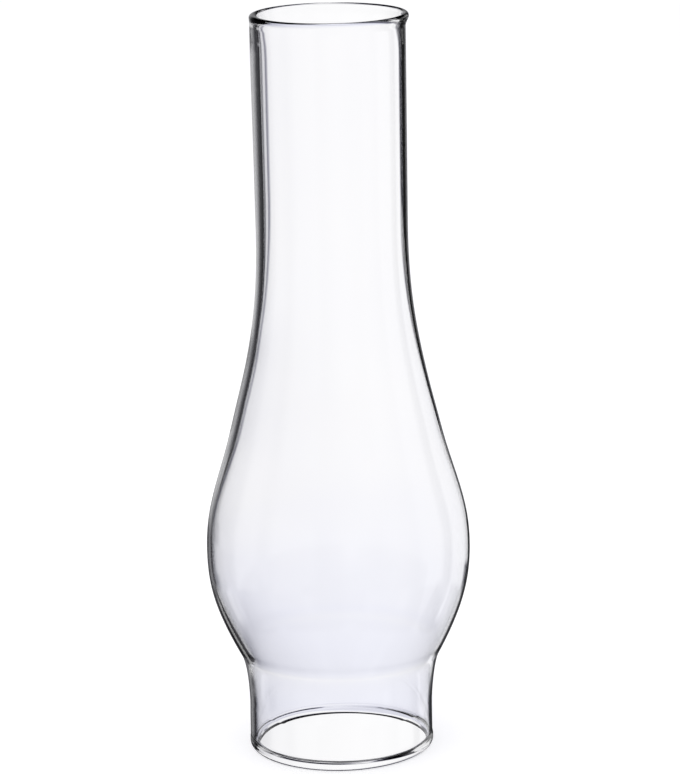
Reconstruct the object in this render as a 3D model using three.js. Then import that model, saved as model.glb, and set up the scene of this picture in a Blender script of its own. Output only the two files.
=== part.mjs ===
// Glass chimney for an oil lamp, in millimetres, standing on its foot at z = 0 with +Z up.
// It is one blown body of clear glass, open at both ends: a straight collar that the lamp's
// gallery holds, a bulge round the flame, and a long neck that makes the draught.
// The outside is drawn first, from foot to rim, and the bore follows it at the wall's thickness.

import * as THREE from "three";

// Heights above the foot
const TOTAL_HEIGHT = 304.8;
const COLLAR_HEIGHT = 18;
const THICKEST_HEIGHT = 37;
const CREASE_HEIGHT = 40.5;
const BULGE_HEIGHT = 85;
const WAIST_HEIGHT = 222;

// Outside diameters
const COLLAR_DIAMETER = 76.2;
const CREASE_DIAMETER = 82.8;
const BULGE_DIAMETER = 108.4;
const WAIST_DIAMETER = 61.8;
const NECK_DIAMETER = 62.3;
const RIM_DIAMETER = 63.5;

// Wall thicknesses
const FOOT_WALL = 3.2;
const COLLAR_WALL = 1.5;
const CREASE_WALL = 1.9;
const BULGE_WALL = 1.1;
const NECK_WALL = 2.7;

// Fire-polished ends: the foot keeps a flat land to stand on, the rim ends in a full round bead
const FOOT_LAND_WIDTH = 1.4;
const FOOT_BEAD_HEIGHT = 4.5;
const FOOT_BEAD_PROUD = 0.2;
const RIM_BEAD_DIAMETER = 2.8;
const RIM_FLARE_LENGTH = 4;

// Lean of the wall away from upright where the crease turns into the bulge
const CREASE_LEAN_DEGREES = 28.5;

// How far the two handles of each curve reach, as shares of the height that the curve climbs
const FOOT_BEAD_SHARES = [0.5, 0.3];
const CREASE_SHARES = [0.12, 0.27];
const LOWER_BULGE_SHARES = [0.55, 0.16];
const SHOULDER_SHARES = [0.234, 0.547];
const NECK_SHARES = [0.35, 0.35];
const RIM_FLARE_SHARES = [0.5, 0.3];

// How far up the collar keeps its wall, as a share of the way to the thickest place, and where the
// wall has thinned to the bulge's, as a share of the way from the crease to the bulge
const COLLAR_WALL_SHARE = 0.6;
const BULGE_WALL_SHARE = 0.8;

// Facets round the glass, and steps along each curve
const FACETS = 72;
const FOOT_EDGE_STEPS = 3;
const RIM_BEAD_STEPS = 6;
const CURVE_STEPS = { foot: 2, collar: 1, crease: 5, bulge: 6, shoulder: 10, neck: 2, flare: 2 };

const GLASS_COLOUR = 0xf1f2fb;

// A smooth stretch between two outline points, each with the lean at which the curve passes it
function curveBetween(start, startLean, end, endLean, shares) {
  const climb = end.y - start.y;
  const along = (lean) => new THREE.Vector2(Math.sin(lean), Math.cos(lean));
  const startHandle = start.clone().addScaledVector(along(startLean), shares[0] * climb);
  const endHandle = end.clone().addScaledVector(along(endLean), -shares[1] * climb);
  return new THREE.CubicBezierCurve(start, startHandle, endHandle, end);
}

const footEdgeRadius = (FOOT_WALL - FOOT_LAND_WIDTH) / 2;
const rimBeadRadius = RIM_BEAD_DIAMETER / 2;
const rimBeadHeight = TOTAL_HEIGHT - rimBeadRadius;
const neckTopHeight = rimBeadHeight - RIM_FLARE_LENGTH;

// The outside, from the top of the foot's rounded edge to the widest place of the rim's bead
function outsideStretches() {
  const lean = THREE.MathUtils.degToRad(CREASE_LEAN_DEGREES);
  const footEdge = new THREE.Vector2(COLLAR_DIAMETER / 2 + FOOT_BEAD_PROUD, footEdgeRadius);
  const collarFoot = new THREE.Vector2(COLLAR_DIAMETER / 2, FOOT_BEAD_HEIGHT);
  const collarTop = new THREE.Vector2(COLLAR_DIAMETER / 2, COLLAR_HEIGHT);
  const crease = new THREE.Vector2(CREASE_DIAMETER / 2, CREASE_HEIGHT);
  const bulge = new THREE.Vector2(BULGE_DIAMETER / 2, BULGE_HEIGHT);
  const waist = new THREE.Vector2(WAIST_DIAMETER / 2, WAIST_HEIGHT);
  const neckTop = new THREE.Vector2(NECK_DIAMETER / 2, neckTopHeight);
  const rim = new THREE.Vector2(RIM_DIAMETER / 2, rimBeadHeight);

  return [
    [curveBetween(footEdge, 0, collarFoot, 0, FOOT_BEAD_SHARES), CURVE_STEPS.foot],
    [new THREE.LineCurve(collarFoot, collarTop), CURVE_STEPS.collar],
    [curveBetween(collarTop, 0, crease, lean, CREASE_SHARES), CURVE_STEPS.crease],
    [curveBetween(crease, lean, bulge, 0, LOWER_BULGE_SHARES), CURVE_STEPS.bulge],
    [curveBetween(bulge, 0, waist, 0, SHOULDER_SHARES), CURVE_STEPS.shoulder],
    [curveBetween(waist, 0, neckTop, 0, NECK_SHARES), CURVE_STEPS.neck],
    [curveBetween(neckTop, 0, rim, 0, RIM_FLARE_SHARES), CURVE_STEPS.flare],
  ];
}

// Where each wall thickness is reached, from the foot up
const WALL_PLACES = [
  [footEdgeRadius, FOOT_WALL],
  [FOOT_BEAD_HEIGHT, COLLAR_WALL],
  [THREE.MathUtils.lerp(COLLAR_HEIGHT, THICKEST_HEIGHT, COLLAR_WALL_SHARE), COLLAR_WALL],
  [THICKEST_HEIGHT, CREASE_WALL],
  [THREE.MathUtils.lerp(CREASE_HEIGHT, BULGE_HEIGHT, BULGE_WALL_SHARE), BULGE_WALL],
  [BULGE_HEIGHT, BULGE_WALL],
  [WAIST_HEIGHT, NECK_WALL],
  [neckTopHeight, NECK_WALL],
  [rimBeadHeight, RIM_BEAD_DIAMETER],
];

// The wall's thickness at a height, eased between those places
function wallAt(height) {
  const above = WALL_PLACES.findIndex(([place]) => place > height);
  if (above < 0) {
    return RIM_BEAD_DIAMETER;
  }
  const [low, lowWall] = WALL_PLACES[Math.max(above - 1, 0)];
  const [high, highWall] = WALL_PLACES[above];
  return THREE.MathUtils.lerp(lowWall, highWall, THREE.MathUtils.smoothstep(height, low, high));
}

// Both faces of the wall, each a list of points from foot to rim
function wallFaces() {
  const outside = [];
  const bore = [];
  outsideStretches().forEach(([curve, steps], index) => {
    for (let step = index === 0 ? 0 : 1; step <= steps; step += 1) {
      const point = curve.getPoint(step / steps);
      const tangent = curve.getTangent(step / steps);
      const inward = new THREE.Vector2(-tangent.y, tangent.x);
      outside.push(point);
      bore.push(point.clone().addScaledVector(inward, wallAt(point.y)));
    }
  });
  return { outside, bore };
}

// The points of an arc between its two ends, which are left to the lines that it joins
function arcBetween(centre, radius, fromAngle, toAngle, steps) {
  const points = [];
  for (let step = 1; step < steps; step += 1) {
    const angle = THREE.MathUtils.lerp(fromAngle, toAngle, step / steps);
    const spoke = new THREE.Vector2(Math.cos(angle), Math.sin(angle));
    points.push(centre.clone().addScaledVector(spoke, radius));
  }
  return points;
}

// The closed section of the wall: up the outside, over the rim, down the bore, along the foot
function wallSection() {
  const { outside, bore } = wallFaces();
  const quarter = Math.PI / 2;

  const beadCentre = outside.at(-1).clone().lerp(bore.at(-1), 1 / 2);
  const bead = arcBetween(beadCentre, rimBeadRadius, 0, 2 * quarter, RIM_BEAD_STEPS);

  const innerEnd = new THREE.Vector2(bore[0].x + footEdgeRadius, 0);
  const outerEnd = new THREE.Vector2(outside[0].x - footEdgeRadius, 0);
  const innerCentre = new THREE.Vector2(innerEnd.x, footEdgeRadius);
  const outerCentre = new THREE.Vector2(outerEnd.x, footEdgeRadius);

  return [
    ...outside,
    ...bead,
    ...bore.toReversed(),
    ...arcBetween(innerCentre, footEdgeRadius, 2 * quarter, 3 * quarter, FOOT_EDGE_STEPS),
    innerEnd,
    outerEnd,
    ...arcBetween(outerCentre, footEdgeRadius, -quarter, 0, FOOT_EDGE_STEPS),
    outside[0].clone(),
  ];
}

function glassChimney() {
  const geometry = new THREE.LatheGeometry(wallSection(), FACETS);
  geometry.rotateX(Math.PI / 2);
  const glass = new THREE.MeshStandardMaterial({
    color: GLASS_COLOUR,
    roughness: 0.03,
    metalness: 0,
    transparent: true,
    opacity: 0.35,
  });
  const mesh = new THREE.Mesh(geometry, glass);
  mesh.name = "glass_chimney";
  return mesh;
}

const chimney = new THREE.Group();
chimney.add(glassChimney());

export default chimney;
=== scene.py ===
import math

import bpy
import numpy as np
from mathutils import Matrix, Vector


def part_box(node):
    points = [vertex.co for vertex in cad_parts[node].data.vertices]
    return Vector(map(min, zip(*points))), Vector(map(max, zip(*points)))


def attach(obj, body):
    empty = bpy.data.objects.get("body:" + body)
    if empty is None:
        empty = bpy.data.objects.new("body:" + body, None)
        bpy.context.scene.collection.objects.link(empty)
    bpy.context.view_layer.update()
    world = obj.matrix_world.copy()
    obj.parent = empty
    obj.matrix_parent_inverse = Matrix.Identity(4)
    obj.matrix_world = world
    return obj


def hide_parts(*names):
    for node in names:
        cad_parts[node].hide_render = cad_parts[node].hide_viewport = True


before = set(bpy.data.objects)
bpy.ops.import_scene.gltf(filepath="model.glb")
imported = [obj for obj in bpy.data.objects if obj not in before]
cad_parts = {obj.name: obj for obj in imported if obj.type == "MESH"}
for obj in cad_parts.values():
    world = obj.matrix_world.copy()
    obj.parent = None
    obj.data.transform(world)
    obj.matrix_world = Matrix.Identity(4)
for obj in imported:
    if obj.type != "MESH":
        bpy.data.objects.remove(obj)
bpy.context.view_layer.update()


# Glass chimney
# One blown body of clear heat-resisting glass, open at both ends: collar, crease, bulge, shoulder and neck.
# It is drawn and blown from one tube, cut to length, and its rim and foot are melted round in a flame.
# Nothing fixes it: the collar drops into a burner's gallery and the foot stands on the gallery's ledge.
MM = 0.001
chimney_low, chimney_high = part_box("glass_chimney")
TOTAL_HEIGHT = (chimney_high.z - chimney_low.z) / MM
BULGE_RADIUS = (chimney_high.x - chimney_low.x) / 2 / MM

COLLAR_TOP_HEIGHT = 18
CREASE_HEIGHT = 40.5
BULGE_HEIGHT = 85
WAIST_HEIGHT = 222
RIM_BEAD_RADIUS = 1.4
RIM_FLARE_LENGTH = 4
RIM_BEAD_HEIGHT = TOTAL_HEIGHT - RIM_BEAD_RADIUS
NECK_TOP_HEIGHT = RIM_BEAD_HEIGHT - RIM_FLARE_LENGTH

FOOT_RADIUS = 37.95
COLLAR_RADIUS = 37.85
CREASE_RADIUS = 41.4
WAIST_RADIUS = 30.75
NECK_RADIUS = 31.05
RIM_RADIUS = 31.75
CREASE_LEAN = math.radians(28.5)

FOOT_BEAD_SHOULDER = 3.3
FOOT_BEAD_TOP = 4.6
FOOT_OUTER_ROUND = 2
FOOT_INNER_ROUND = 0.9
FOOT_LEAST_LAND = 0.1

# Wall thickness at a height, and by what share of that it is thicker on the left and thinner on the right
WALL = [(2, 3.2), (3.3, 2.9), (4.6, 1.5), (27, 1.5), (40, 1.54), (76, 1.2), (90, 1.23), (137, 1.78),
        (170, 1.95), (232, 2.6), (290, 2.7), (303.4, 2.8)]
LEFT_SHARES = [(0, 0.1), (6, 0.36), (27, 0.36), (40, 0.4), (76, 0.4), (90, 0.42), (140, 0.45),
               (182, 0.27), (207, 0.25), (232, 0.28), (290, 0.3), (303.4, 0.1)]
# How far the glass leans off its axis at a height, towards the left
LEAN_LEFT = [(0, 0.35), (10, 0.3), (36, 0.1), (67, 0.25), (85, 0.17), (146, 0.25), (165, 0.12),
             (230, 0.42), (299, 0.6), (303.4, 0)]
# How far its outline swells at a height beyond a true curve, as blown glass does
SWELL = [(0, 0), (22, -0.1), (45, -0.2), (67, 0.15), (85, -0.17), (100, 0), (125, -0.4), (146, 0.1),
         (190, -0.4), (230, -0.05), (299, 0)]

# A low ridge that blowing leaves inside the crease
CREASE_RIDGE = 0.08
CREASE_RIDGE_HEIGHT = 42.3
CREASE_RIDGE_REACH = 1.4

# What melting the two ends in a flame left uneven. Each spot is a length, where it is most, and how wide it
# is, the last two as angles round the glass: 0 is the right, 90 the back, 180 the left and -90 the front.
WALL_SINKS = [(0.9, 90, 60), (0.3, 130, 20)]
FOOT_BEAD_SWELLS = [(0.3, -25, 45)]
FOOT_OUTER_ROUND_GROWS = [(1.3, -42, 28), (-1.6, 73, 35)]
FOOT_INNER_ROUND_GROWS = [(-0.6, 60, 45), (-0.4, -55, 30), (-0.2, -110, 20)]
RIM_FLATTENS = [(0.7, -135, 50)]

# How far the two handles of each curve reach, as shares of the height that the curve climbs
EVEN_SHARES = (0.33, 0.33)
CREASE_SHARES = (0.12, 0.27)
LOWER_BULGE_SHARES = (0.55, 0.16)
SHOULDER_SHARES = (0.234, 0.547)
NECK_SHARES = (0.35, 0.35)
RIM_FLARE_SHARES = (0.5, 0.3)

# Steps along each curve and each rounded edge, and round the glass
FOOT_BEAD_STEPS = 8
COLLAR_STEPS = 10
CREASE_STEPS = 30
LOWER_BULGE_STEPS = 34
SHOULDER_STEPS = 56
NECK_STEPS = 16
RIM_FLARE_STEPS = 10
RIM_BEAD_STEPS = 14
FOOT_INNER_ROUND_STEPS = 6
FOOT_OUTER_ROUND_STEPS = 12
STEPS_ROUND = 288


def eased(height, places):
    """The value at a height, eased between the places that are given as (height, value)."""
    heights = [place for place, _ in places]
    values = [value for _, value in places]
    height = np.clip(height, heights[0], heights[-1])
    index = np.clip(np.searchsorted(heights, height, side="right") - 1, 0, len(heights) - 2)
    low, high = np.take(heights, index), np.take(heights, index + 1)
    share = (height - low) / (high - low)
    share = share * share * (3 - 2 * share)
    return np.take(values, index) * (1 - share) + np.take(values, index + 1) * share


def bend(start, start_lean, end, end_lean, shares, steps):
    """A smooth stretch of outline between two (radius, height) points, each passed at its lean."""
    climb = end[1] - start[1]
    start, end = np.array(start), np.array(end)
    first = start + shares[0] * climb * np.array([math.sin(start_lean), math.cos(start_lean)])
    second = end - shares[1] * climb * np.array([math.sin(end_lean), math.cos(end_lean)])
    t = np.linspace(0, 1, steps + 1)[:, None]
    return (1 - t) ** 3 * start + 3 * (1 - t) ** 2 * t * first + 3 * (1 - t) * t * t * second + t ** 3 * end


def outside_outline():
    """The outside, from the top of the foot's rounded edge to the widest place of the rim."""
    foot = (FOOT_RADIUS, FOOT_OUTER_ROUND)
    shoulder = (FOOT_RADIUS, FOOT_BEAD_SHOULDER)
    bead_top = (COLLAR_RADIUS, FOOT_BEAD_TOP)
    collar_top = (COLLAR_RADIUS, COLLAR_TOP_HEIGHT)
    crease = (CREASE_RADIUS, CREASE_HEIGHT)
    bulge = (BULGE_RADIUS, BULGE_HEIGHT)
    waist = (WAIST_RADIUS, WAIST_HEIGHT)
    neck = (NECK_RADIUS, NECK_TOP_HEIGHT)
    rim = (RIM_RADIUS, RIM_BEAD_HEIGHT)
    stretches = [
        bend(foot, 0, shoulder, 0, EVEN_SHARES, FOOT_BEAD_STEPS),
        bend(shoulder, 0, bead_top, 0, EVEN_SHARES, FOOT_BEAD_STEPS),
        bend(bead_top, 0, collar_top, 0, EVEN_SHARES, COLLAR_STEPS),
        bend(collar_top, 0, crease, CREASE_LEAN, CREASE_SHARES, CREASE_STEPS),
        bend(crease, CREASE_LEAN, bulge, 0, LOWER_BULGE_SHARES, LOWER_BULGE_STEPS),
        bend(bulge, 0, waist, 0, SHOULDER_SHARES, SHOULDER_STEPS),
        bend(waist, 0, neck, 0, NECK_SHARES, NECK_STEPS),
        bend(neck, 0, rim, 0, RIM_FLARE_SHARES, RIM_FLARE_STEPS),
    ]
    return np.concatenate([stretches[0]] + [stretch[1:] for stretch in stretches[1:]])


def uneven(degrees, spots):
    """What the spots add up to at an angle round the glass."""
    total = 0
    for length, centre, width in spots:
        apart = (degrees - centre + 180) % 360 - 180
        total += length * math.exp(-((apart / width) ** 2))
    return total


def cut_back(height, rise, width):
    """How far a lower edge, rounded over this rise and width, lies inside the upright face at a height."""
    short = np.clip(1 - height / rise, 0, None)
    return width * (1 - np.sqrt(1 - short ** 2))


def rim_bead(outer_end, inner_end, degrees):
    """The arc over the rim, from the top of the outside to the top of the bore."""
    rise = RIM_BEAD_RADIUS - uneven(degrees, RIM_FLATTENS)
    centre = ((outer_end[0] + inner_end[0]) / 2, RIM_BEAD_HEIGHT + RIM_BEAD_RADIUS - rise)
    reach = np.linalg.norm(outer_end - inner_end) / 2
    over = np.linspace(0, math.pi, RIM_BEAD_STEPS + 1)[1:-1]
    return np.array(centre) + np.stack([reach * np.cos(over), rise * np.sin(over)], axis=1)


def wall_section(outside, degrees):
    """The closed section of the wall at one angle round the glass, in millimetres."""
    left = -math.cos(math.radians(degrees))
    heights = outside[:, 1]
    slope = np.gradient(outside, axis=0)
    slope /= np.linalg.norm(slope, axis=1)[:, None]
    inward = np.stack([-slope[:, 1], slope[:, 0]], axis=1)
    wall = eased(heights + uneven(degrees, WALL_SINKS), WALL) * (1 + left * eased(heights, LEFT_SHARES))
    wall += CREASE_RIDGE * np.exp(-((heights - CREASE_RIDGE_HEIGHT) / CREASE_RIDGE_REACH) ** 2)
    inner = outside + inward * wall[:, None]

    outer = outside.copy()
    bead = np.clip((FOOT_BEAD_TOP - heights) / (FOOT_BEAD_TOP - FOOT_BEAD_SHOULDER), 0, 1)
    outer[:, 0] += bead * uneven(degrees, FOOT_BEAD_SWELLS)
    rim = rim_bead(outer[-1], inner[-1], degrees)

    inner_radius = FOOT_INNER_ROUND + uneven(degrees, FOOT_INNER_ROUND_GROWS)
    quarter = np.linspace(0, math.pi / 2, FOOT_INNER_ROUND_STEPS + 1)
    inner_corner = np.array([inner[0][0] + inner_radius, inner_radius])
    inner_round = inner_corner - inner_radius * np.stack([np.cos(quarter), np.sin(quarter)], axis=1)

    outer_rise = FOOT_OUTER_ROUND + uneven(degrees, FOOT_OUTER_ROUND_GROWS)
    outer_width = min(outer_rise, outer[0][0] - inner[0][0] - inner_radius - FOOT_LEAST_LAND)
    quarter = np.linspace(0, math.pi / 2, FOOT_OUTER_ROUND_STEPS + 1)[:-1]
    low = FOOT_OUTER_ROUND * (1 - np.cos(quarter))
    outer_round = np.stack([outer[0][0] - cut_back(low, outer_rise, outer_width), low], axis=1)
    outer[:, 0] -= cut_back(heights, outer_rise, outer_width)
    return np.concatenate([outer, rim, inner[::-1], inner_round, outer_round])


def glass_mesh():
    """The whole glass: the wall's section at each angle, leaned and joined into one closed skin."""
    outside = outside_outline()
    points = []
    for step in range(STEPS_ROUND):
        degrees = 360 * step / STEPS_ROUND
        section = wall_section(outside, degrees)
        radius, height = section[:, 0], section[:, 1]
        turn = math.radians(degrees)
        radius = radius + eased(height, SWELL)
        x = radius * math.cos(turn) - eased(height, LEAN_LEFT)
        y = radius * math.sin(turn)
        points.append(np.stack([x, y, height], axis=1) * MM)
    ring = len(points[0])
    faces = []
    for step in range(STEPS_ROUND):
        here, there = step * ring, (step + 1) % STEPS_ROUND * ring
        for place in range(ring):
            after = (place + 1) % ring
            faces.append((here + place, there + place, there + after, here + after))
    mesh = bpy.data.meshes.new("clear_glass_chimney")
    mesh.from_pydata(np.concatenate(points).tolist(), [], faces)
    mesh.polygons.foreach_set("use_smooth", [True] * len(faces))
    mesh.update()
    return mesh


GLASS_INDEX = 1.5
GLASS_MIRROR_TINT = (0.2, 0.2, 0.2, 1)
GLASS_PALE = (0.996, 0.994, 1, 1)
GLASS_DEEP = (0.988, 0.987, 0.998, 1)
GLASS_SHADE = (0.93, 0.93, 0.95, 1)

# Noises through the glass: how far each is drawn out upright, as a share, its scale and its detail
DRAWN_LINES = (0.03, 260, 2)
WAVES = (0.5, 22, 1)
HAZE = (0.4, 60, 4)
TONE = (0.6, 30, 3)

# Depths of the drawn lines and waves in metres, and where in their noises the haze and the deeper tone begin
# and are full
DRAWN_LINE_DEPTH = 0.00001
WAVE_DEPTH = 0.0002
BUMP_STRENGTH = 0.3
HAZE_RANGE = (0.5, 0.75)
TONE_RANGE = (0.3, 0.7)
FULL_HAZE = 0.012
FULL_TONE = 1


def clear_glass():
    """Clear blown glass: faintly lavender, with drawn lines, soft waves and a little haze."""
    material = bpy.data.materials.new("clear_glass")
    material.use_nodes = True
    nodes, links = material.node_tree.nodes, material.node_tree.links
    object_place = nodes.new("ShaderNodeTexCoord")

    def noise(upright, scale, detail):
        """Noise through the glass, drawn out along its axis."""
        place = nodes.new("ShaderNodeMapping")
        place.inputs["Scale"].default_value = (1, 1, upright)
        links.new(object_place.outputs["Object"], place.inputs["Vector"])
        texture = nodes.new("ShaderNodeTexNoise")
        texture.inputs["Scale"].default_value = scale
        texture.inputs["Detail"].default_value = detail
        links.new(place.outputs["Vector"], texture.inputs["Vector"])
        return texture.outputs["Fac"]

    def within(value, value_range, full):
        """0 up to the range's low end, and full from its high end."""
        node = nodes.new("ShaderNodeMapRange")
        node.inputs["From Min"].default_value = value_range[0]
        node.inputs["From Max"].default_value = value_range[1]
        node.inputs["To Max"].default_value = full
        links.new(value, node.inputs["Value"])
        return node.outputs["Result"]

    def bump(height, depth):
        """A bump of the noise, as deep as this."""
        node = nodes.new("ShaderNodeBump")
        node.inputs["Strength"].default_value = BUMP_STRENGTH
        node.inputs["Distance"].default_value = depth
        links.new(height, node.inputs["Height"])
        return node

    glass = nodes["Principled BSDF"]
    glass.inputs["IOR"].default_value = GLASS_INDEX
    glass.inputs["Transmission Weight"].default_value = 1
    glass.inputs["Specular Tint"].default_value = GLASS_MIRROR_TINT

    # Lines that the tube was drawn with, and the waves of the blowing
    drawn = bump(noise(*DRAWN_LINES), DRAWN_LINE_DEPTH)
    waves = bump(noise(*WAVES), WAVE_DEPTH)
    links.new(drawn.outputs["Normal"], waves.inputs["Normal"])
    links.new(waves.outputs["Normal"], glass.inputs["Normal"])

    # A thin uneven haze, and a colour that is a little deeper in places
    links.new(within(noise(*HAZE), HAZE_RANGE, FULL_HAZE), glass.inputs["Roughness"])
    tone = nodes.new("ShaderNodeMix")
    tone.data_type = "RGBA"
    tone.inputs["A"].default_value = GLASS_PALE
    tone.inputs["B"].default_value = GLASS_DEEP
    links.new(within(noise(*TONE), TONE_RANGE, FULL_TONE), tone.inputs["Factor"])
    links.new(tone.outputs["Result"], glass.inputs["Base Color"])

    # Lamps shine through the glass, so that it throws only the faint shadow that clear glass has
    light_path = nodes.new("ShaderNodeLightPath")
    see_through = nodes.new("ShaderNodeBsdfTransparent")
    see_through.inputs["Color"].default_value = GLASS_SHADE
    mix = nodes.new("ShaderNodeMixShader")
    links.new(light_path.outputs["Is Shadow Ray"], mix.inputs[0])
    links.new(glass.outputs[0], mix.inputs[1])
    links.new(see_through.outputs[0], mix.inputs[2])
    links.new(mix.outputs[0], nodes["Material Output"].inputs["Surface"])
    return material


chimney = bpy.data.objects.new("clear_glass_chimney", glass_mesh())
bpy.context.scene.collection.objects.link(chimney)
chimney.data.materials.append(clear_glass())
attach(chimney, "root")
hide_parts("glass_chimney")


# Floor
# A plain pale sheet under the glass, white to the camera, which keeps the glass's soft shadow.
# The glass itself shows the surroundings below in its place, as even and as white.
FLOOR_SIZE = 40
PAPER_COLOUR = (0.8, 0.8, 0.8, 1)
PAPER_GLOW = (0.35, 0.35, 0.35, 1)

half = FLOOR_SIZE / 2
floor_corners = [(-half, -half, 0), (half, -half, 0), (half, half, 0), (-half, half, 0)]
floor_mesh = bpy.data.meshes.new("floor")
floor_mesh.from_pydata(floor_corners, [], [range(len(floor_corners))])
floor = bpy.data.objects.new("floor", floor_mesh)
bpy.context.scene.collection.objects.link(floor)
floor.visible_glossy = False
floor.visible_transmission = False

paper = bpy.data.materials.new("white_paper")
paper.use_nodes = True
paper_nodes, paper_links = paper.node_tree.nodes, paper.node_tree.links
paper_nodes.remove(paper_nodes["Principled BSDF"])
paper_matt = paper_nodes.new("ShaderNodeBsdfDiffuse")
paper_matt.inputs["Color"].default_value = PAPER_COLOUR
paper_glow = paper_nodes.new("ShaderNodeEmission")
paper_glow.inputs["Color"].default_value = PAPER_GLOW
paper_path = paper_nodes.new("ShaderNodeLightPath")
paper_sum = paper_nodes.new("ShaderNodeAddShader")
paper_links.new(paper_path.outputs["Is Camera Ray"], paper_glow.inputs["Strength"])
paper_links.new(paper_matt.outputs[0], paper_sum.inputs[0])
paper_links.new(paper_glow.outputs[0], paper_sum.inputs[1])
paper_links.new(paper_sum.outputs[0], paper_nodes["Material Output"].inputs["Surface"])
floor.data.materials.append(paper)


# Surroundings
# A white room with a dark strip to each side of every white wall, as black cards stand beside clear glass.
# Seen straight, or through the glass, the room is white; seen in the glass's own mirror it is mostly dark.
ROOM_LEVEL = 0.8
DARK = 0.02

# Mirrorings, and faces of glass gone through, above which light has been mirrored, has gone past the outer
# skin, or has gone past both walls
ONE_MIRRORING = 0.5
PAST_SKIN_FACES = 0.5
PAST_BOTH_WALLS_FACES = 3.5

world = bpy.data.worlds.new("white_room")
bpy.context.scene.world = world
world.use_nodes = True
room_nodes, room_links = world.node_tree.nodes, world.node_tree.links


def math_node(operation, *values):
    """The output of a Math node, fed by numbers and by outputs, beside the nodes that those belong to."""
    tree = next(value for value in values if isinstance(value, bpy.types.NodeSocket)).id_data
    node = tree.nodes.new("ShaderNodeMath")
    node.operation = operation
    for socket, value in zip(node.inputs, values):
        if isinstance(value, bpy.types.NodeSocket):
            tree.links.new(value, socket)
        else:
            socket.default_value = value
    return node.outputs[0]


def fade(value, start, end, start_level, end_level):
    """The level that goes evenly from one to another as the value goes from start to end."""
    node = room_nodes.new("ShaderNodeMapRange")
    room_links.new(value, node.inputs["Value"])
    node.inputs["From Min"].default_value = start
    node.inputs["From Max"].default_value = end
    node.inputs["To Min"].default_value = start_level
    node.inputs["To Max"].default_value = end_level
    return node.outputs["Result"]


def blend_by(first, second, share):
    """The first where share is 0, the second where it is 1."""
    return math_node("ADD", math_node("MULTIPLY", first, math_node("SUBTRACT", 1, share)),
                     math_node("MULTIPLY", second, share))


def folded(angle, span):
    """Degrees from the nearest multiple of span, below 0 on its left."""
    half_on = math_node("FLOORED_MODULO", math_node("ADD", angle, span / 2), span)
    return math_node("SUBTRACT", half_on, span / 2)


path = room_nodes.new("ShaderNodeLightPath")
direction = room_nodes.new("ShaderNodeTexCoord")
parts = room_nodes.new("ShaderNodeSeparateXYZ")
room_links.new(direction.outputs["Generated"], parts.inputs[0])
bearing = math_node("DEGREES", math_node("ARCTAN2", parts.outputs["X"], parts.outputs["Y"]))
rise = math_node("DEGREES", math_node("ARCSINE", parts.outputs["Z"]))
half_side = folded(bearing, 180)
quarter_side = folded(bearing, 90)

seen = math_node("MAXIMUM", path.outputs["Is Camera Ray"],
                 math_node("MAXIMUM", path.outputs["Is Glossy Ray"], path.outputs["Is Transmission Ray"]))
mirrored = math_node("GREATER_THAN", path.outputs["Glossy Depth"], ONE_MIRRORING)
past_skin = math_node("GREATER_THAN", path.outputs["Transmission Depth"], PAST_SKIN_FACES)
past_walls = math_node("GREATER_THAN", path.outputs["Transmission Depth"], PAST_BOTH_WALLS_FACES)


def above(low, high):
    """0 below the low rise, 1 above the high one."""
    return fade(rise, low, high, 0, 1)


def below(low, high):
    """1 below the low rise, 0 above the high one."""
    return fade(rise, low, high, 1, 0)


def strips(angle, stops):
    """The light level round the room, from stops of (degrees, level) across one fold of the angle."""
    node = room_nodes.new("ShaderNodeValToRGB")
    span = stops[-1][0] - stops[0][0]
    room_links.new(fade(angle, stops[0][0], stops[-1][0], 0, 1), node.inputs["Fac"])
    for index, (degrees, level) in enumerate(stops):
        share = (degrees - stops[0][0]) / span
        stop = node.color_ramp.elements[index] if index < 2 else node.color_ramp.elements.new(share)
        stop.position = share
        stop.color = (level, level, level, 1)
    return node.outputs["Color"]


def half_room(stops):
    """Strips round half the room, with the dark strip that stands at each end of it."""
    left_end = [(-90, 0.8), (-80, 0.8), (-72, 0.03)]
    right_end = [(60, 0.9), (66, 0.03), (74, 0.03), (80, 0.8), (90, 0.8)]
    return strips(half_side, left_end + stops + right_end)


def quarter_room(stops):
    """Strips round a quarter of the room, white at both ends, with a dark strip inside each."""
    left_end = [(-45, 1), (-35, 1), (-31, 0.03)]
    right_end = [(31, 0.03), (35, 1), (45, 1)]
    return strips(quarter_side, left_end + stops + right_end)


# Rises, in degrees, over which what the glass shows changes: at the bulge, the neck and the collar, far down
# for the skin and for the bore, at the far side, and straight through
BULGE_RISES = (-13, -11.7)
NECK_RISES = (-6.5, -5)
COLLAR_RISES = (-18.5, -17.5)
SKIN_FLOOR_RISES = (-24, -22)
WALL_FLOOR_RISES = (-23.5, -20.5)
FAR_SIDE_RISES = (13, 18)
THROUGH_RISES = (-14, -11)

# What the outer skin mirrors, low and high on the glass, at the collar, and far down
skin_low = half_room([(-40, 0.03), (-20, 0.1), (0, 0.12), (14, 0.03), (21, 0.03), (24.5, 0.9)])
skin_high = half_room([(-48, 0.03), (-36, 0.05), (-31, 0.15), (-24, 0.3), (-18, 0.45), (-10, 0.6), (-4, 0.5),
                       (10, 0.12), (19, 0.03), (23, 0.9)])
skin_collar = half_room([(-40, 0.03), (-20, 0.1), (0, 0.12), (14, 0.03), (31, 0.03), (36, 0.8)])
skin_floor = strips(quarter_side, [(-45, 0.03), (-31, 0.03), (-29.5, 0.9), (-25.5, 0.9), (-22, 0.03),
                                   (23, 0.03), (26, 0.9), (32, 0.9), (35, 0.03), (45, 0.03)])
skin_level = blend_by(skin_low, skin_high, above(*BULGE_RISES))
skin_level = blend_by(skin_level, skin_collar, below(*COLLAR_RISES))
skin_level = blend_by(skin_level, skin_floor, below(*SKIN_FLOOR_RISES))

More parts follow.
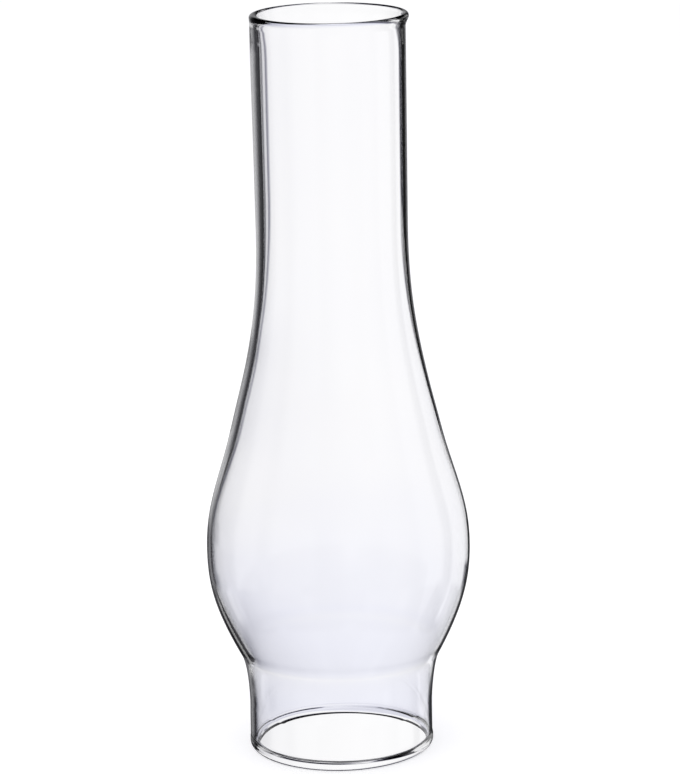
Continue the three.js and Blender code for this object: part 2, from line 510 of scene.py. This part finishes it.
# What the bore mirrors inside the wall, low and high on the glass, at the neck, at the collar, and far down
wall_low = half_room([(-46, 0.9), (-41, 0.7), (-36, 0.03), (-26.5, 0.02), (-24.5, 0.27), (-20, 0.3),
                      (-16, 0.15), (0, 0.06), (19, 0.03), (21, 0.03), (24.5, 0.9)])
wall_high = half_room([(-54, 0.9), (-50, 0.75), (-44, 0.03), (-32, 0.03), (-27, 0.11), (-23, 0.26),
                       (-17, 0.46), (-12, 0.65), (0, 0.7), (10, 0.35), (16, 0.2), (19, 0.03), (23, 0.9)])
wall_neck = half_room([(-47, 0.9), (-43, 0.8), (-39, 0.03), (-27.5, 0.02), (-25.5, 0.42), (-24, 0.6),
                       (-20, 0.65), (-14, 0.9), (0, 0.8), (8, 0.3), (15, 0.1), (19, 0.03), (23, 0.9)])
wall_collar = half_room([(-48, 0.9), (-44, 0.5), (-40, 0.03), (-31, 0.02), (-25, 0.12), (-22, 0.25),
                         (-18, 0.4), (-12, 0.3), (0, 0.1), (20, 0.03), (31, 0.03), (36, 0.8)])
wall_floor = strips(quarter_side, [(-45, 0.9), (-28, 0.9), (-26, 0.1), (0, 0.03), (20, 0.1), (24, 0.9),
                                   (45, 0.9)])
wall_level = blend_by(wall_low, wall_high, above(*BULGE_RISES))
wall_level = blend_by(wall_level, wall_neck, above(*NECK_RISES))
wall_level = blend_by(wall_level, wall_collar, below(*COLLAR_RISES))
wall_level = blend_by(wall_level, wall_floor, below(*WALL_FLOOR_RISES))

# What the far side of the bore mirrors, which is brighter high up
far_level = strips(bearing, [(-180, 1), (-24, 1), (-19, 0.5), (-16, 0.03), (12, 0.03), (18, 0.3), (30, 0.45),
                             (45, 0.8), (60, 1), (180, 1)])
far_above = math_node("MULTIPLY", above(*FAR_SIDE_RISES),
                      strips(bearing, [(-180, 0), (-4, 0), (0, 0.6), (6, 1), (30, 1), (60, 0), (180, 0)]))
mirror_level = blend_by(blend_by(skin_level, wall_level, past_skin),
                        math_node("MAXIMUM", far_level, far_above), past_walls)

# What is seen straight through the glass, low and high on it, and a little less bright far down
through_low = quarter_room([(-26, 0.03), (-22, 0.5), (-19, 0.74), (-12, 0.77), (-8, 0.85), (0, 1), (5, 0.98),
                            (7, 0.88), (9, 0.3), (12, 0.03)])
through_high = quarter_room([(-25, 0.03), (-22.5, 0.8), (-19.5, 0.8), (-17.9, 0.2), (-16.4, 0.2),
                             (-14.2, 0.93), (-6, 0.96), (0, 1), (11.2, 1), (13, 0.04)])
far_down = strips(rise, [(-34, 0.94), (-27, 0.78), (-25, 0.78), (-19, 1)])
through_level = math_node("MULTIPLY", blend_by(through_low, through_high, above(*THROUGH_RISES)),
                          blend_by(1, far_down, past_walls))

# Dark overhead. What both walls show of it is tilted, and isn't quite dark to the right of each half.
CEILING_RISES = (10, 18)
CEILING_PAST_WALLS_RISES = (3, 7)
TILT = 12

ceiling = strips(half_side, [(-90, DARK), (0, DARK), (2, 0.1), (6, 0.4), (20, 0.3), (90, DARK)])
raised = strips(quarter_side, [(-45, 0), (1, 0), (7, 1), (14, 1), (20, 0), (45, 0)])
tilted_rise = math_node("SUBTRACT", rise, math_node("MULTIPLY", TILT, raised))
ceiling_past_walls = blend_by(ceiling, 1, fade(tilted_rise, *CEILING_PAST_WALLS_RISES, 1, 0))
overhead = blend_by(fade(rise, *CEILING_RISES, 1, DARK), ceiling_past_walls, past_walls)

# Dark underfoot, for light that meets one wall only, and tilted too, but bright in the middle far down
UNDERFOOT_RISES = (-34.8, -32.5)
BRIGHT_MIDDLE_RISES = (-40, -37)

to_right = strips(quarter_side, [(-45, 0.5), (-20, 0.5), (-10, 0), (10, 1), (20, 0.5), (45, 0.5)])
one_wall_rise = math_node("ADD", rise, math_node("MULTIPLY", math_node("SUBTRACT", to_right, 0.5), TILT))
middle = strips(half_side, [(-90, 0), (-9, 0), (-6, 1), (6, 1), (10, 0.3), (20, 0.3), (90, 0)])
one_wall = math_node("MAXIMUM", fade(one_wall_rise, *UNDERFOOT_RISES, DARK, 1),
                     math_node("MULTIPLY", below(*BRIGHT_MIDDLE_RISES), middle))
one_mirror = strips(rise, [(-54, 0.4), (-49.25, DARK), (-38, DARK), (-34, 1)])
underfoot = math_node("MAXIMUM", past_walls, blend_by(one_wall, one_mirror, mirrored))

glass_level = math_node("MULTIPLY", math_node("MULTIPLY", overhead, underfoot),
                        blend_by(through_level, mirror_level, mirrored))
shown_level = blend_by(glass_level, 1, path.outputs["Is Camera Ray"])
level = blend_by(ROOM_LEVEL, shown_level, seen)

# Shadows seen through the glass are a little lavender, and so is the light low down
BLUE_POWER_THROUGH = 0.86
BLUE_POWER_MIRRORED = 0.97
LOW_TINT = (0.9, 0.91, 0.975, 1)
LOW_TINT_RISES = (-19, -14)

shades = room_nodes.new("ShaderNodeCombineColor")
room_links.new(level, shades.inputs["Red"])
room_links.new(level, shades.inputs["Green"])
blue = math_node("POWER", level, blend_by(BLUE_POWER_THROUGH, BLUE_POWER_MIRRORED, mirrored))
room_links.new(blue, shades.inputs["Blue"])
tinted = room_nodes.new("ShaderNodeMix")
tinted.data_type = "RGBA"
tinted.blend_type = "MULTIPLY"
low_down = math_node("MULTIPLY", below(*LOW_TINT_RISES), past_walls)
room_links.new(math_node("MULTIPLY", low_down, seen), tinted.inputs["Factor"])
room_links.new(shades.outputs["Color"], tinted.inputs["A"])
tinted.inputs["B"].default_value = LOW_TINT
room_links.new(tinted.outputs["Result"], room_nodes["Background"].inputs["Color"])


# Black card
# A black card upright behind the glass on the right, its lower corner cut away, as is put beside clear glass
# to draw the edge. Only the neck's right edge mirrors it: straight through the glass it isn't seen.
CARD_DISTANCE = 400
CARD_BEARING = math.radians(35)
CARD_CORNERS = [(-71, 300), (134, 300), (134, 158), (29, 132), (-33, 69), (-71, 69)]
CARD_COLOUR = (0.01, 0.01, 0.01, 1)

card_middle = Vector((math.sin(CARD_BEARING), math.cos(CARD_BEARING), 0)) * CARD_DISTANCE
card_across = Vector((math.cos(CARD_BEARING), -math.sin(CARD_BEARING), 0))
card_mesh = bpy.data.meshes.new("black_card")
card_mesh.from_pydata([(card_middle + card_across * across + Vector((0, 0, height))) * MM
                       for across, height in CARD_CORNERS], [], [range(len(CARD_CORNERS))])
card = bpy.data.objects.new("black_card", card_mesh)
bpy.context.scene.collection.objects.link(card)
card.visible_camera = False
card.visible_diffuse = False
card.visible_shadow = False

black_paper = bpy.data.materials.new("black_paper")
black_paper.use_nodes = True
card_nodes, card_links = black_paper.node_tree.nodes, black_paper.node_tree.links
card_nodes.remove(card_nodes["Principled BSDF"])
card_path = card_nodes.new("ShaderNodeLightPath")
card_mirrored = math_node("GREATER_THAN", card_path.outputs["Glossy Depth"], ONE_MIRRORING)
card_near = math_node("LESS_THAN", card_path.outputs["Transmission Depth"], PAST_BOTH_WALLS_FACES)
card_clear = card_nodes.new("ShaderNodeBsdfTransparent")
card_matt = card_nodes.new("ShaderNodeBsdfDiffuse")
card_matt.inputs["Color"].default_value = CARD_COLOUR
card_mix = card_nodes.new("ShaderNodeMixShader")
card_links.new(math_node("MULTIPLY", card_mirrored, card_near), card_mix.inputs[0])
card_links.new(card_clear.outputs[0], card_mix.inputs[1])
card_links.new(card_matt.outputs[0], card_mix.inputs[2])
card_links.new(card_mix.outputs[0], card_nodes["Material Output"].inputs["Surface"])
card.data.materials.append(black_paper)


# Lamps
# Two large soft lamps in front of the glass, one to each side. The glass doesn't mirror them: they light the
# floor and throw the soft shadow.
LAMP_SIZE = 1
LEFT_LAMP_PLACE = (-1.2, -1, 1.6)
LEFT_LAMP_POWER = 12
RIGHT_LAMP_PLACE = (1.3, -0.8, 1.2)
RIGHT_LAMP_POWER = 6


def soft_lamp(name, place, power):
    """A square soft lamp that faces the middle of the glass."""
    lamp = bpy.data.lights.new(name, "AREA")
    lamp.energy = power
    lamp.size = LAMP_SIZE
    holder = bpy.data.objects.new(name, lamp)
    bpy.context.scene.collection.objects.link(holder)
    holder.location = place
    middle_of_glass = Vector((0, 0, TOTAL_HEIGHT * MM / 2))
    holder.rotation_euler = (middle_of_glass - Vector(place)).to_track_quat("-Z", "Y").to_euler()
    holder.visible_glossy = False
    holder.visible_transmission = False


soft_lamp("left_lamp", LEFT_LAMP_PLACE, LEFT_LAMP_POWER)
soft_lamp("right_lamp", RIGHT_LAMP_PLACE, RIGHT_LAMP_POWER)


# Camera
# The photograph's view, fitted to the ellipses of the rim and the foot: a long lens in front of the glass and
# some way above its rim, looking down.
IMAGE_HEIGHT_PX = 774
FOCAL_LENGTH_PX = 3504.5
SENSOR_HEIGHT = 24
FAR_LIMIT = 100
CAMERA_DISTANCE = 1.3831
CAMERA_HEIGHT = 0.49545
PITCH_DOWN = math.radians(13.947)
TURN_RIGHT = math.radians(0.071)
ROLL = math.radians(-1.079)

camera = bpy.data.cameras.new("photo_camera")
camera.sensor_fit = "VERTICAL"
camera.sensor_height = SENSOR_HEIGHT
camera.lens = FOCAL_LENGTH_PX * SENSOR_HEIGHT / IMAGE_HEIGHT_PX
camera.clip_end = FAR_LIMIT
ahead = Vector((math.sin(TURN_RIGHT), math.cos(TURN_RIGHT), 0))
forward = ahead * math.cos(PITCH_DOWN) - Vector((0, 0, math.sin(PITCH_DOWN)))
level_right = Vector((math.cos(TURN_RIGHT), -math.sin(TURN_RIGHT), 0))
level_up = level_right.cross(forward)
right = math.cos(ROLL) * level_right + math.sin(ROLL) * level_up
up = math.cos(ROLL) * level_up - math.sin(ROLL) * level_right
tripod = bpy.data.objects.new("photo_camera", camera)
bpy.context.scene.collection.objects.link(tripod)
tripod.matrix_world = (Matrix.Translation((0, -CAMERA_DISTANCE, CAMERA_HEIGHT))
                       @ Matrix((right, up, -forward)).transposed().to_4x4())
bpy.context.scene.camera = tripod
bpy.context.scene.view_settings.view_transform = "Standard"
